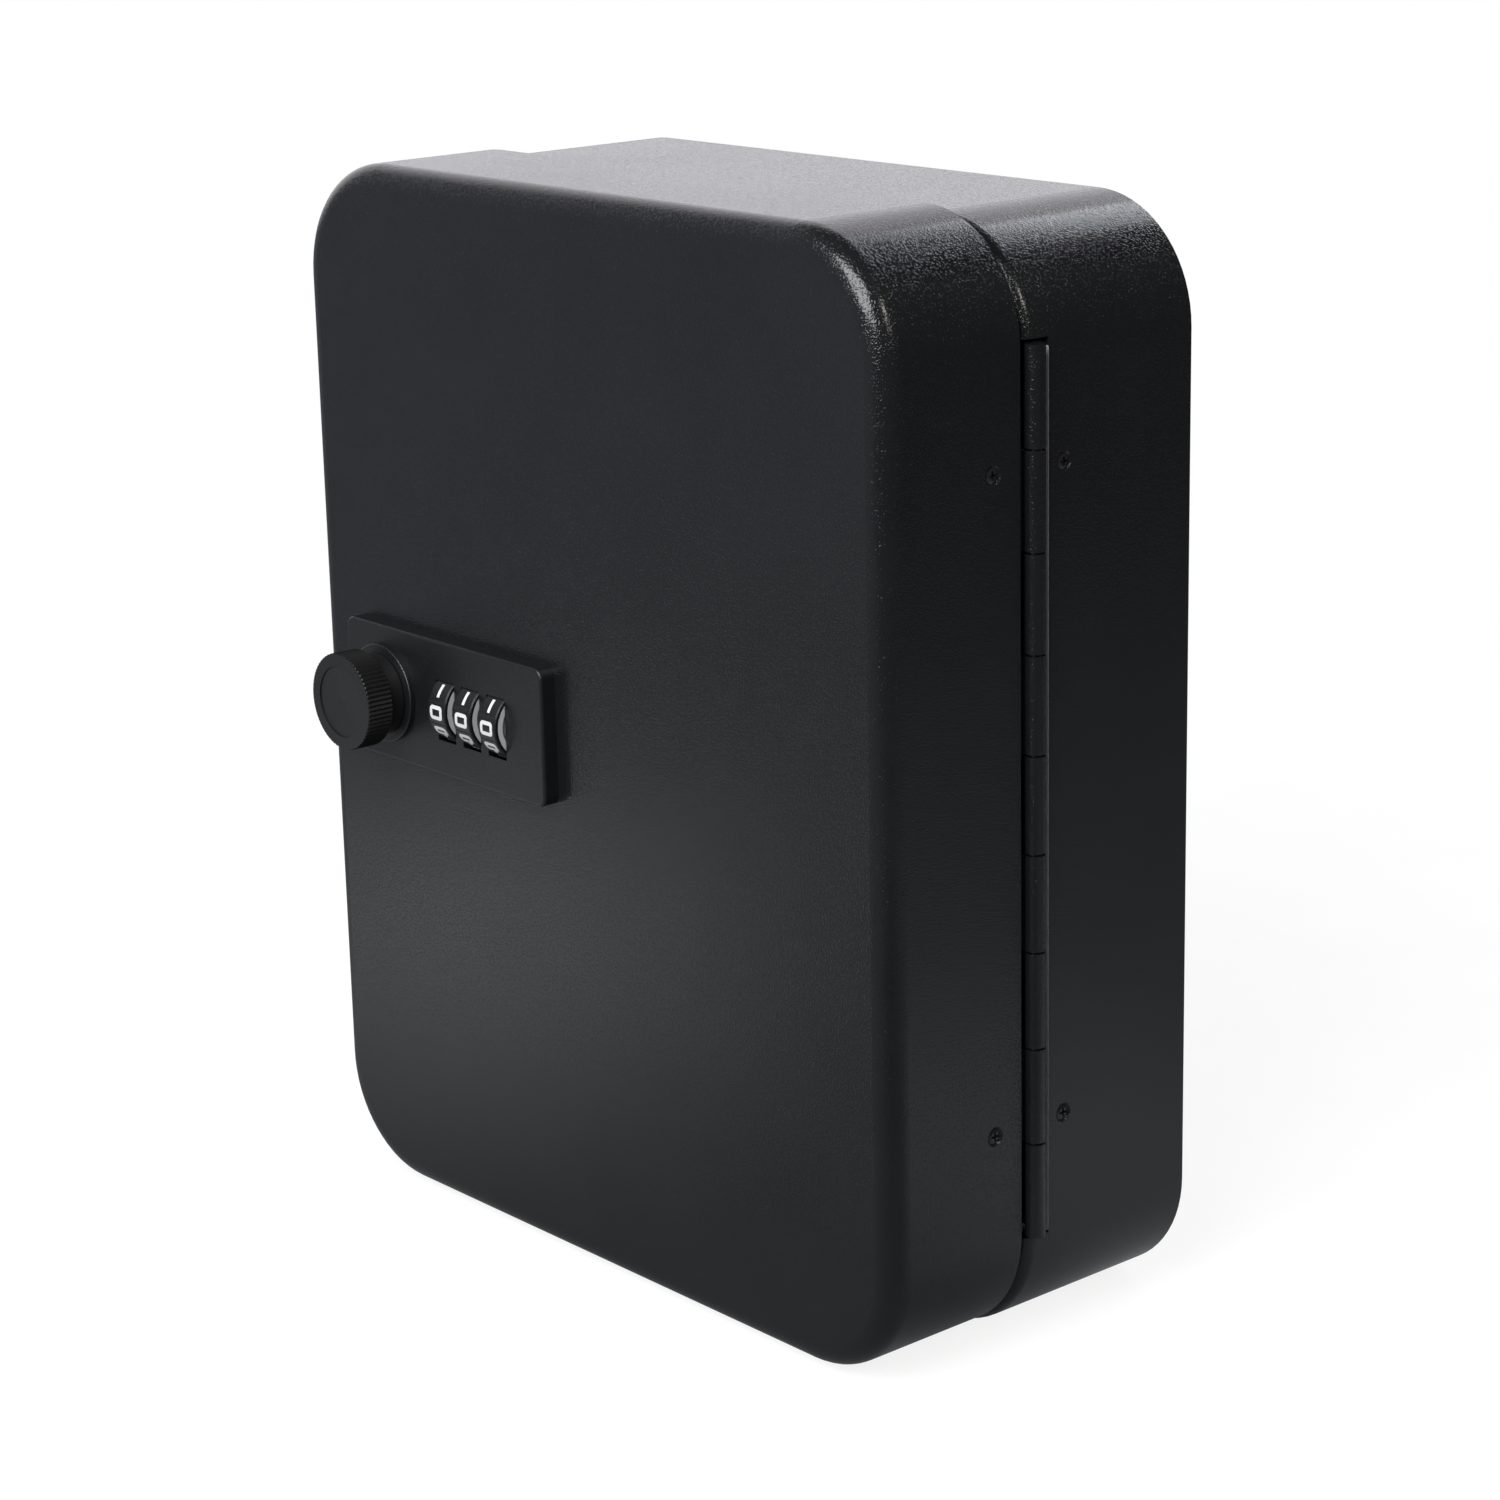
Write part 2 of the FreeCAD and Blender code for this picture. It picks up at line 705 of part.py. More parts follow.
def make_fence():
    left = knob_x - eccentric_radius / 2
    right = wheel_xs[-1] + sleeve_mid + fence_finger_width / 2
    bar = block(left, right, fence_front, fence_rear, fence_bottom, fence_top)
    eye_z = lock_height + eccentric_offset
    half_x = eccentric_radius + eccentric_offset + fence_yoke_slack
    half_z = eccentric_radius + fence_yoke_slack
    yoke = rod_y(fence_front, fence_rear, knob_x, eye_z, half_x + fence_yoke_wall)
    neck = block(left, knob_x + eccentric_radius / 2, fence_front, fence_rear, fence_bottom, eye_z)
    fingers = []
    for x in wheel_xs:
        middle = x + sleeve_mid
        fingers.append(block(middle - fence_finger_width / 2, middle + fence_finger_width / 2,
                             fence_front, fence_rear, fence_top - overrun, finger_top))
    eye = slab(knob_x - half_x, knob_x + half_x, eye_z - half_z, eye_z + half_z, half_z - fence_eye_flat,
               fence_front - overrun, fence_rear + overrun)
    return bar.fuse([yoke, neck] + fingers).cut(eye)


def make_detent_spring():
    base_front = cover_front - spring_thickness
    base_low = lock_height - wheel_radius
    base_high = base_low + spring_base_height
    left = wheel_xs[0] - spring_finger_width / 2
    right = wheel_xs[-1] + spring_finger_width / 2
    base = block(left, right, base_front, cover_front, base_low, base_high)
    turn = math.pi / wheel_digits
    reach = wheel_radius + spring_tip_gap
    tip_y = wheel_y + reach * math.cos(turn)
    tip_z = lock_height - reach * math.sin(turn)
    fingers = []
    for x in wheel_xs:
        start = x - spring_finger_width / 2
        points = [
            vec(start, cover_front, base_high - spring_thickness),
            vec(start, tip_y + spring_thickness, tip_z + spring_thickness),
            vec(start, cover_front - spring_tail_gap, lock_height + spring_base_height),
            vec(start, cover_front - spring_tail_gap - spring_thickness, lock_height + spring_base_height),
            vec(start, tip_y, tip_z),
            vec(start, base_front, base_high - 2 * spring_thickness),
        ]
        fingers.append(polygon(points, vec(spring_finger_width, 0, 0)))
    return base.fuse(fingers)


def make_reset_slider():
    half = reset_stem / 2
    wide = reset_flange / 2
    tall = reset_flange_height / 2
    foot_rear = cover_front - reset_clearance
    tab_front = cover_rear + reset_clearance
    stem = block(reset_x - half, reset_x + half,
                 foot_rear - reset_foot_thickness / 2, tab_front + reset_tab_thickness / 2,
                 reset_low - reset_stem_height / 2, reset_low + reset_stem_height / 2)
    foot = block(reset_x - wide, reset_x + wide, foot_rear - reset_foot_thickness, foot_rear,
                 reset_low - tall, reset_low + tall)
    tab = block(reset_x - wide, reset_x + wide, tab_front, tab_front + reset_tab_thickness,
                reset_low - tall, reset_low + tall)
    return stem.fuse([foot, tab])


def make_knob():
    cap_rear = knob_front + knob_cap_thickness
    points = []
    for i in range(2 * knob_teeth):
        turn = math.pi * i / knob_teeth
        radius = knob_radius - (knob_tooth_depth if i % 2 else 0)
        x = knob_x + radius * math.cos(turn)
        z = lock_height + radius * math.sin(turn)
        points.append(vec(x, knob_front, z))
    toothed = polygon(points, vec(0, knob_cap_thickness, 0))
    blank = rod_y(knob_front, cap_rear, knob_x, lock_height, knob_radius + knob_blank_over)
    blank = round_front(round_front(blank, knob_front, knob_edge_radius), cap_rear, knob_edge_radius)
    neck = rod_y(cap_rear - overrun, collar_front - knob_collar_gap, knob_x, lock_height, knob_neck_radius)
    dish = turned_y([
        (0, knob_front - overrun),
        (knob_dish_radius, knob_front - overrun),
        (knob_dish_radius, knob_front + knob_dish_step),
        (0, knob_front + knob_dish_depth),
    ], knob_x, lock_height)
    socket_radius = spindle_radius + seat_clearance
    socket = rod_y(knob_front + knob_wall, collar_front + overrun, knob_x, lock_height, socket_radius)
    return toothed.common(blank).fuse(neck).cut([dish, socket])


def make_spindle():
    start = knob_front + knob_wall + seat_clearance
    shaft = rod_y(start, cam_front, knob_x, lock_height, spindle_radius)
    half = cam_square / 2
    square = block(knob_x - half, knob_x + half, cam_front - overrun, cam_rear - square_short,
                   lock_height - half, lock_height + half)
    lobe = rod_y(fence_front, fence_rear, knob_x, lock_height + eccentric_offset, eccentric_radius)
    thread_radius = cam_screw_radius + seat_clearance
    thread = rod_y(cam_rear - cam_screw_depth, cam_rear + overrun, knob_x, lock_height, thread_radius)
    return shaft.fuse([square, lobe]).cut(thread)


def make_latch_cam():
    half = cam_arm_width / 2
    tip_z = lock_height - cam_reach + half
    hub = rod_y(cam_front, cam_rear, knob_x, lock_height, cam_hub_radius)
    arm = block(knob_x - half, knob_x + half, cam_front, cam_rear, tip_z, lock_height)
    tip = rod_y(cam_front, cam_rear, knob_x, tip_z, half)
    hole = cam_square / 2 + seat_clearance
    square = block(knob_x - hole, knob_x + hole, cam_front - overrun, cam_rear + overrun,
                   lock_height - hole, lock_height + hole)
    return hub.fuse([arm, tip]).cut(square)


def make_cam_washer():
    washer = rod_y(cam_rear, washer_rear, knob_x, lock_height, cam_washer_radius)
    hole_radius = cam_screw_radius + fastener_clearance
    return washer.cut(rod_y(cam_rear - overrun, washer_rear + overrun, knob_x, lock_height, hole_radius))


def make_cam_screw():
    start = cam_rear - cam_screw_depth + thread_relief
    end = washer_rear + cam_screw_head_height
    profile = [
        (0, start),
        (cam_screw_radius, start),
        (cam_screw_radius, washer_rear),
        (cam_screw_head_radius, washer_rear),
        (cam_screw_head_radius, end - screw_head_edge),
        (cam_screw_head_radius - screw_head_edge, end),
        (0, end),
    ]
    half = drive_width / 2
    upright = block(knob_x - half, knob_x + half, end - drive_depth, end + overrun,
                    lock_height - drive_length, lock_height + drive_length)
    level = block(knob_x - drive_length, knob_x + drive_length, end - drive_depth, end + overrun,
                  lock_height - half, lock_height + half)
    return turned_y(profile, knob_x, lock_height).cut(upright.fuse(level))


def make_hinge_pin():
    return rod_z(hinge_bottom, hinge_top, hinge_x, hinge_y, pin_radius)


def make_wheel_axle():
    return rod_x(ear_left, ear_right + ear_thickness, wheel_y, lock_height, axle_radius)


pieces = {
    "body_shell": make_body_shell(),
    "back_panel": make_back_panel(),
    "rail_rivets": make_rail_rivets(),
    "strike": make_strike(),
    "strike_rivets": make_strike_rivets(),
    "hinge_leaf_case": hinge_leaf(1, 0, case_screw_y),
    "hinge_leaf_door": hinge_leaf(-1, 1, door_screw_y),
    "hinge_pin": make_hinge_pin(),
    "hinge_screws_case": Part.makeCompound([hinge_screw(case_screw_y, z) for z in hinge_screw_heights]),
    "hinge_screws_door": Part.makeCompound([hinge_screw(door_screw_y, z) for z in hinge_screw_heights]),
    "hinge_nuts_case": Part.makeCompound([hinge_nut(case_screw_y, z) for z in hinge_screw_heights]),
    "hinge_nuts_door": Part.makeCompound([hinge_nut(door_screw_y, z) for z in hinge_screw_heights]),
    "door_shell": make_door_shell(),
    "lock_plate": make_lock_plate(),
    "lock_housing": make_lock_housing(),
    "lock_cover": make_lock_cover(),
    "lock_screws": make_lock_screws(),
    "wheel_axle": make_wheel_axle(),
    "detent_spring": make_detent_spring(),
    "fence": make_fence(),
    "reset_slider": make_reset_slider(),
    "knob": make_knob(),
    "spindle": make_spindle(),
    "latch_cam": make_latch_cam(),
    "cam_washer": make_cam_washer(),
    "cam_screw": make_cam_screw(),
}
for number, height in enumerate(rail_heights(), 1):
    pieces["hook_rail_%d" % number] = make_hook_rail(height)
for number, wheel_x in enumerate(wheel_xs, 1):
    pieces["number_ring_%d" % number] = make_number_ring(wheel_x)
    pieces["code_core_%d" % number] = make_code_core(wheel_x)

os.makedirs("parts", exist_ok=True)
for name, shape in pieces.items():
    clean = shape.removeSplitter() if len(shape.Solids) == 1 else shape
    clean.exportStep("parts/%s.step" % name)
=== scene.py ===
import json
import math

import bmesh
import bpy
from mathutils import Matrix, Vector


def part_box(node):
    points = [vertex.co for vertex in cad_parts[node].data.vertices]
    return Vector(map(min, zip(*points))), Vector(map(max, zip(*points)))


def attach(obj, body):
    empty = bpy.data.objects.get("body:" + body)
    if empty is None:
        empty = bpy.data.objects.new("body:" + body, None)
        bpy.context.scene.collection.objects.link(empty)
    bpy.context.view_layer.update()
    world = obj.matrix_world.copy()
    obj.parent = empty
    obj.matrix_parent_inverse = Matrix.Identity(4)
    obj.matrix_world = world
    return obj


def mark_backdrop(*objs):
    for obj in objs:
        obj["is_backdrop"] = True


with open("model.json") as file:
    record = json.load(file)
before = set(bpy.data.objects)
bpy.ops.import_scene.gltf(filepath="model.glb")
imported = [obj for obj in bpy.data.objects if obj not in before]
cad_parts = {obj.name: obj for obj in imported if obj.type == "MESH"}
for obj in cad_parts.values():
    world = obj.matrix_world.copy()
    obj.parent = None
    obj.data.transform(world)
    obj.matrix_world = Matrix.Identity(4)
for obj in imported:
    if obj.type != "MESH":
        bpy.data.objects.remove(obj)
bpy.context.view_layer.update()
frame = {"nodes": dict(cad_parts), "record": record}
nodes = frame["nodes"]
scene = bpy.context.scene
scene.view_settings.view_transform = "Standard"

# Lengths and places are in metres, in the frame of the CAD model
MIDDLE = (0.0, -0.045, 0.0)
ring_boxes = [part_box("number_ring_%d" % i) for i in (1, 2, 3)]
floor_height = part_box("body_shell")[0].z

# Shader nodes


def add(tree, kind, inputs=None, **settings):
    """Adds a node. An input is a value, or a socket to link from."""
    made = tree.nodes.new(kind)
    for key, value in settings.items():
        setattr(made, key, value)
    for key, value in (inputs or {}).items():
        if isinstance(value, bpy.types.NodeSocket):
            tree.links.new(value, made.inputs[key])
        else:
            made.inputs[key].default_value = value
    return made


def material(name):
    made = bpy.data.materials.new(name)
    made.use_nodes = True
    made.node_tree.nodes.clear()
    return made, made.node_tree


def object_place(tree):
    return add(tree, "ShaderNodeTexCoord").outputs["Object"]


def noise(tree, place, scale, detail=2.0, roughness=0.5):
    inputs = {"Vector": place, "Scale": scale, "Detail": detail, "Roughness": roughness}
    return add(tree, "ShaderNodeTexNoise", inputs).outputs["Fac"]


def spread(tree, value, low, high, start=0.3, end=0.7):
    """Maps a texture value from start..end to low..high."""
    inputs = {"Value": value, "From Min": start, "From Max": end, "To Min": low, "To Max": high}
    return add(tree, "ShaderNodeMapRange", inputs).outputs["Result"]


def smooth(tree, value, start, end):
    """0 at start and 1 at end, with a soft run between."""
    inputs = {"Value": value, "From Min": start, "From Max": end}
    return add(tree, "ShaderNodeMapRange", inputs, interpolation_type="SMOOTHSTEP").outputs["Result"]


def math_node(tree, operation, a, b):
    return add(tree, "ShaderNodeMath", {0: a, 1: b}, operation=operation).outputs[0]


def vector_node(tree, operation, *vectors):
    made = add(tree, "ShaderNodeVectorMath", dict(enumerate(vectors)), operation=operation)
    return made.outputs["Value" if operation in ("LENGTH", "DOT_PRODUCT") else "Vector"]


def bump(tree, height, strength, depth):
    inputs = {"Strength": strength, "Distance": depth, "Height": height}
    return add(tree, "ShaderNodeBump", inputs).outputs["Normal"]


def tint(tree, value, dark, light, start=0.3, end=0.7):
    """Colour that runs from dark to light with a texture value."""
    ramp = add(tree, "ShaderNodeValToRGB", {"Fac": value})
    ramp.color_ramp.elements[0].position = start
    ramp.color_ramp.elements[1].position = end
    ramp.color_ramp.elements[0].color = dark + (1.0,)
    ramp.color_ramp.elements[1].color = light + (1.0,)
    return ramp.outputs["Color"]


def emission(tree, inputs):
    return add(tree, "ShaderNodeEmission", inputs).outputs[0]


def background(tree, colour, strength):
    return add(tree, "ShaderNodeBackground", {"Color": colour, "Strength": strength}).outputs[0]


def mix(tree, share, first, second):
    """The first shader where the share is 0 and the second where it is 1."""
    return add(tree, "ShaderNodeMixShader", {0: share, 1: first, 2: second}).outputs[0]


def finish_surface(made, tree, inputs):
    shader = add(tree, "ShaderNodeBsdfPrincipled", inputs)
    output = add(tree, "ShaderNodeOutputMaterial")
    tree.links.new(shader.outputs["BSDF"], output.inputs["Surface"])
    return made


# Materials. Scales of textures are per metre.
PEEL_SHARE = 0.35
PIMPLES_PER_GRAIN = 1.3
PIMPLE_RISE = (0.46, 0.78)
GLOSS_SCALE = 16.0
FINE_GLOSS_SCALE = 900.0
FINE_GLOSS = 0.03
TONE_SCALE = 40.0

CRYSTAL_SCALE = 420.0
SCRATCH_SCALES = (60.0, 2200.0, 2200.0)
SCRATCH_DEPTH = 0.00003
CLOUD_SCALE = 60.0

TOOL_RING_SCALE = 9000.0
TOOL_RING_DEPTH = 0.00002
TURNED_GLOSS_SCALE = 300.0


def coated(name, dark, light, rough, grain, depth):
    """Paint or powder coat: small pimples of a given size, with slow changes of tone and gloss."""
    made, tree = material(name)
    place = object_place(tree)
    peel = noise(tree, place, 1.0 / grain, 1.5)
    pimples = smooth(tree, noise(tree, place, PIMPLES_PER_GRAIN / grain, 0.5), *PIMPLE_RISE)
    height = math_node(tree, "ADD", math_node(tree, "MULTIPLY", peel, PEEL_SHARE), pimples)
    slow = spread(tree, noise(tree, place, GLOSS_SCALE, 3.0), *rough)
    fine = spread(tree, noise(tree, place, FINE_GLOSS_SCALE), -FINE_GLOSS, FINE_GLOSS)
    return finish_surface(made, tree, {
        "Base Color": tint(tree, noise(tree, place, TONE_SCALE, 4.0, 0.6), dark, light),
        "Roughness": math_node(tree, "ADD", slow, fine),
        "Normal": bump(tree, height, 1.0, depth),
    })


def plated(name, dark, light):
    """Zinc plate: faint crystal patches, fine scratches along the strip, and cloudy gloss."""
    made, tree = material(name)
    place = object_place(tree)
    patches = add(tree, "ShaderNodeTexVoronoi", {"Vector": place, "Scale": CRYSTAL_SCALE}).outputs["Color"]
    tone = add(tree, "ShaderNodeSeparateColor", {"Color": patches}).outputs["Red"]
    stretched = add(tree, "ShaderNodeMapping", {"Vector": place, "Scale": SCRATCH_SCALES}).outputs["Vector"]
    scratches = noise(tree, stretched, 1.0, 3.0, 0.6)
    cloudy = spread(tree, noise(tree, place, CLOUD_SCALE, 3.0), 0.28, 0.40)
    return finish_surface(made, tree, {
        "Base Color": tint(tree, tone, dark, light, 0.0, 1.0),
        "Metallic": 1.0,
        "Roughness": math_node(tree, "ADD", cloudy, spread(tree, scratches, -0.03, 0.05)),
        "Normal": bump(tree, scratches, 0.35, SCRATCH_DEPTH),
    })


def turned(name, dark, light, axle):
    """Light grey alloy turned about the wheels' axle, which runs along X, with fine rings from the tool."""
    made, tree = material(name)
    place = object_place(tree)
    from_axle = vector_node(tree, "ADD", place, (0.0, -axle.y, -axle.z))
    across = vector_node(tree, "MULTIPLY", from_axle, (0.0, 1.0, 1.0))
    radius = vector_node(tree, "LENGTH", across)
    along_radius = add(tree, "ShaderNodeCombineXYZ", {"X": radius}).outputs[0]
    rings = noise(tree, along_radius, TOOL_RING_SCALE)
    return finish_surface(made, tree, {
        "Base Color": tint(tree, rings, dark, light),
        "Metallic": 0.1,
        "Roughness": spread(tree, noise(tree, place, TURNED_GLOSS_SCALE, 3.0), 0.42, 0.55),
        "Normal": bump(tree, rings, 0.3, TOOL_RING_DEPTH),
    })


# Each coat's darkest and lightest colour, range of roughness, and the size and depth of its grain
COATS = {
    "powder_coat": ((0.0076, 0.0079, 0.0085), (0.0098, 0.0101, 0.0108), (0.13, 0.18), 0.00052, 0.000047),
    "screw_black": ((0.010, 0.010, 0.011), (0.022, 0.022, 0.024), (0.08, 0.12), 0.00030, 0.000004),
    "lock_paint": ((0.0080, 0.0083, 0.0089), (0.0102, 0.0105, 0.0112), (0.33, 0.39), 0.00040, 0.00002),
    "knob_plastic": ((0.0085, 0.0085, 0.0088), (0.0115, 0.0115, 0.0118), (0.40, 0.48), 0.00035, 0.000012),
    "ring_plastic": ((0.0070, 0.0070, 0.0074), (0.0110, 0.0110, 0.0116), (0.34, 0.42), 0.00030, 0.000006),
    "housing_plastic": ((0.014, 0.014, 0.015), (0.021, 0.021, 0.022), (0.50, 0.60), 0.00050, 0.00002),
    "digit_paint": ((0.78, 0.78, 0.77), (0.88, 0.88, 0.87), (0.42, 0.52), 0.00030, 0.000004),
    # A light grey that paints a highlight along the cut edge of the hinge slot
    "edge_highlight_grey": ((0.55, 0.55, 0.56), (0.68, 0.68, 0.69), (0.40, 0.50), 0.00040, 0.00001),
}
coats = {name: coated(name, *values) for name, values in COATS.items()}
axle = (ring_boxes[0][0] + ring_boxes[0][1]) / 2

# The record's material slots, and what each looks like
looks = {
    "powder_coat": coats["powder_coat"],
    "black_screws": coats["screw_black"],
    "lock_black": coats["lock_paint"],
    "knob_black": coats["knob_plastic"],
    "ring_black": coats["ring_plastic"],
    "core_grey": turned("core_grey", (0.56, 0.57, 0.585), (0.68, 0.69, 0.705), axle),
    "housing_black": coats["housing_plastic"],
    "plated_steel": plated("zinc_plate", (0.52, 0.52, 0.53), (0.68, 0.68, 0.69)),
}
for part in frame["record"]["subparts"]:
    slots = nodes[part["node"]].data.materials
    slots.clear()
    slots.append(looks[part["material_slot"]])


def piece(name, mesh, look, body=None):
    """Makes an object from a mesh. It rides on a body, unless none is named."""
    bmesh.ops.recalc_face_normals(mesh, faces=mesh.faces)
    data = bpy.data.meshes.new(name)
    mesh.to_mesh(data)
    mesh.free()
    made = bpy.data.objects.new(name, data)
    scene.collection.objects.link(made)
    data.materials.append(look)
    if body:
        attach(made, body)
    return made


# Digits on the number rings, as strokes in a cell from (0, 0) to (1, 1). An open end that stands upright runs past the
# cell, so that it ends level with the outside of the loops.
PAST = 0.17
STROKES = {
    0: [("loop", [(0, 0), (1, 0), (1, 1), (0, 1)])],
    1: [("line", [(0.5, -PAST), (0.5, 1 + PAST)])],
    2: [("line", [(0, 1), (1, 1), (1, 0.5), (0, 0.5), (0, 0), (1, 0)])],
    3: [("line", [(0, 1), (1, 1), (1, 0), (0, 0)]), ("bar", [(0.2, 0.5), (1, 0.5)])],
    4: [("line", [(1, -PAST), (1, 1 + PAST)]), ("bar", [(0, 1 + PAST), (0, 0.4), (1, 0.4)])],
    5: [("line", [(1, 1), (0, 1), (0, 0.5), (1, 0.5), (1, 0), (0, 0)])],
    6: [("loop", [(0, 0), (1, 0), (1, 0.64), (0, 0.64)]), ("line", [(0.28, 0.83), (0.53, 1 + PAST)])],
    7: [("line", [(0, 1), (1, 1), (0.45, -PAST)])],
    8: [("loop", [(0, 0), (1, 0), (1, 1), (0, 1)]), ("bar", [(0, 0.5), (1, 0.5)])],
    9: [("loop", [(0, 0.36), (1, 0.36), (1, 1), (0, 1)]), ("line", [(0.72, 0.17), (0.47, -PAST)])],
}
DIGIT_TURN = math.radians(36)
DIGIT_WIDTH = 0.0036
DIGIT_HEIGHT = 0.0025
STROKE_WIDTH = 0.00092
STROKE_STEP = 0.0004
CORNER = 0.00055
CORNER_STEPS = 4
PAINT_PROUD = 0.00003
PAINT_DEEP = 0.00008


def rounded(points, closed):
    """The stroke's centre line with rounded corners and short steps, as points in the digit's plane."""
    count = len(points)
    line = []
    for i, point in enumerate(points):
        if not closed and i in (0, count - 1):
            line.append(point)
            continue
        before = (points[i - 1] - point).normalized()
        after = (points[(i + 1) % count] - point).normalized()
        start = point + before * CORNER
        end = point + after * CORNER
        for k in range(CORNER_STEPS + 1):
            t = k / CORNER_STEPS
            line.append(start * (1 - t) ** 2 + point * 2 * t * (1 - t) + end * t ** 2)
    stepped = []
    for i in range(len(line) - (0 if closed else 1)):
        a, b = line[i], line[(i + 1) % len(line)]
        steps = max(1, math.ceil((b - a).length / STROKE_STEP))
        stepped += [a.lerp(b, k / steps) for k in range(steps)]
    return stepped if closed else stepped + [line[-1]]


def ribbon(mesh, line, closed, place):
    """Adds a stroke to the mesh: a thin closed band of paint along the line."""
    count = len(line)
    rails = []
    for i, point in enumerate(line):
        before = line[i - 1] if closed or i > 0 else point
        after = line[(i + 1) % count] if closed or i < count - 1 else point
        along = (after - before).normalized()
        side = Vector((-along.y, along.x)) * STROKE_WIDTH / 2
        edge = [(point + side, PAINT_PROUD), (point - side, PAINT_PROUD),
                (point - side, -PAINT_DEEP), (point + side, -PAINT_DEEP)]
        rails.append([mesh.verts.new(place(p, lift)) for p, lift in edge])
    for i in range(count if closed else count - 1):
        a, b = rails[i], rails[(i + 1) % count]
        for k in range(4):
            mesh.faces.new((a[k], a[(k + 1) % 4], b[(k + 1) % 4], b[k]))
    if not closed:
        mesh.faces.new(rails[0][::-1])
        mesh.faces.new(rails[-1])


def digits(number, low, high):
    """White digits on one ring: 0 faces the front, 1 is above it and 9 below."""
    centre = (low + high) / 2
    radius = (high.z - low.z) / 2
    mesh = bmesh.new()
    for digit, strokes in STROKES.items():
        turn = DIGIT_TURN * digit

        def place(p, lift, turn=turn):
            angle = turn + p.y / radius
            reach = radius + lift
            return (centre.x + p.x, centre.y - reach * math.cos(angle), centre.z + reach * math.sin(angle))

        for kind, path in strokes:
            points = [Vector(((x - 0.5) * DIGIT_WIDTH, (y - 0.5) * DIGIT_HEIGHT)) for x, y in path]
            if kind == "bar":
                # A bar's level ends stop at the side of the stroke that they meet
                for end, inner in ((0, 1), (-1, -2)):
                    if path[end][0] in (0, 1) and path[end][1] == path[inner][1]:
                        points[end] += (points[inner] - points[end]).normalized() * STROKE_WIDTH / 2
            closed = kind == "loop"
            ribbon(mesh, rounded(points, closed), closed, place)
    return piece("digits_%d" % number, mesh, coats["digit_paint"], "wheel_%d" % number)


for index, (low, high) in enumerate(ring_boxes, 1):
    digits(index, low, high)

# Cut edge of the hinge slot in the case wall, painted light grey as a highlight along it
EDGE_BEHIND_PIN = 0.0044
EDGE_WIDTH = 0.00115
EDGE_INSET = 0.00005
EDGE_THICKNESS = 0.00006
EDGE_SHORT = 0.0016
EDGE_END_STEPS = 8


def slot_edge_highlight():
    """The cut edge of the case wall behind the hinge, as a thin light grey strip with rounded ends: a painted
    highlight along the edge.
    """
    pin_low, pin_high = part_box("hinge_pin")
    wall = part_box("body_shell")[1].x
    rear = (pin_low.y + pin_high.y) / 2 + EDGE_BEHIND_PIN
    inner, outer = wall - EDGE_WIDTH, wall - EDGE_INSET
    radius = (outer - inner) / 2
    outline = []
    for end, start in ((pin_high.z - EDGE_SHORT, 0.0), (pin_low.z, math.pi)):
        for k in range(EDGE_END_STEPS + 1):
            turn = start + math.pi * k / EDGE_END_STEPS
            outline.append((inner + radius + radius * math.cos(turn), end + radius * math.sin(turn)))
    mesh = bmesh.new()
    front = [mesh.verts.new((x, rear - EDGE_THICKNESS, z)) for x, z in outline]
    behind = [mesh.verts.new((x, rear, z)) for x, z in outline]
    mesh.faces.new(front)
    mesh.faces.new(behind[::-1])
    for k in range(len(outline)):
        after = (k + 1) % len(outline)
        mesh.faces.new((front[k], behind[k], behind[after], front[after]))
    return piece("slot_edge_highlight", mesh, coats["edge_highlight_grey"], "case")


slot_edge_highlight()

# Floor: a pale disc that fades into the white background. Glossy rays see it as a painted reflection: a glow of its
# own, with painted pools of light and shadow.
FLOOR_RADII = (0.25, 0.5, 0.75, 1.0)
FLOOR_SIDES = 64
FLOOR_GAP = 0.0002
FLOOR_FADE = (0.35, 0.95)
FLOOR_GLOW = 0.86
FLOOR_DARK = (0.20, 0.20, 0.20)
FLOOR_LIGHT = (0.22, 0.22, 0.22)
FLOOR_DUST_SCALE = 30.0
PAINTED_REFLECTION_COLOUR = (0.92, 0.955, 1.0, 1.0)
PAINTED_REFLECTION_LEVEL = 0.24
PAINTED_REFLECTION_LEAST = 0.02

# Painted pools of light and shadow on the floor, seen only in reflections in the paint: centre, direction, half
# length, half width, amount
PAINTED_FLOOR_POOLS = (
    # A painted pool of light at the front left
    ((-0.248, -0.196), (-0.86, -0.51), 0.28, 0.125, 0.84),
    ((0.195, 0.090), (0.75, 0.66), 0.18, 0.13, 0.30),
    ((0.300, -0.225), (0.77, -0.64), 0.34, 0.26, -0.20),
    ((0.780, -0.210), (1.0, 0.0), 0.42, 0.28, -0.18),
    # A painted shadow around the foot of the case
    ((0.000, 0.000), (1.0, 0.0), 0.17, 0.06, -0.28),
)


def pool(tree, place, centre, along, length, width):
    """A soft oval patch on the floor: 1 at its centre and 0 from its edge on."""
    away = vector_node(tree, "SUBTRACT", place, centre + (0.0,))
    run = vector_node(tree, "DOT_PRODUCT", away, (along[0] / length, along[1] / length, 0.0))
    side = vector_node(tree, "DOT_PRODUCT", away, (-along[1] / width, along[0] / width, 0.0))
    flat = add(tree, "ShaderNodeCombineXYZ", {"X": run, "Y": side}).outputs[0]
    return smooth(tree, vector_node(tree, "LENGTH", flat), 1.0, 0.0)


def seen_directly(tree, path):
    return math_node(tree, "MAXIMUM", path["Is Camera Ray"], path["Is Transmission Ray"])


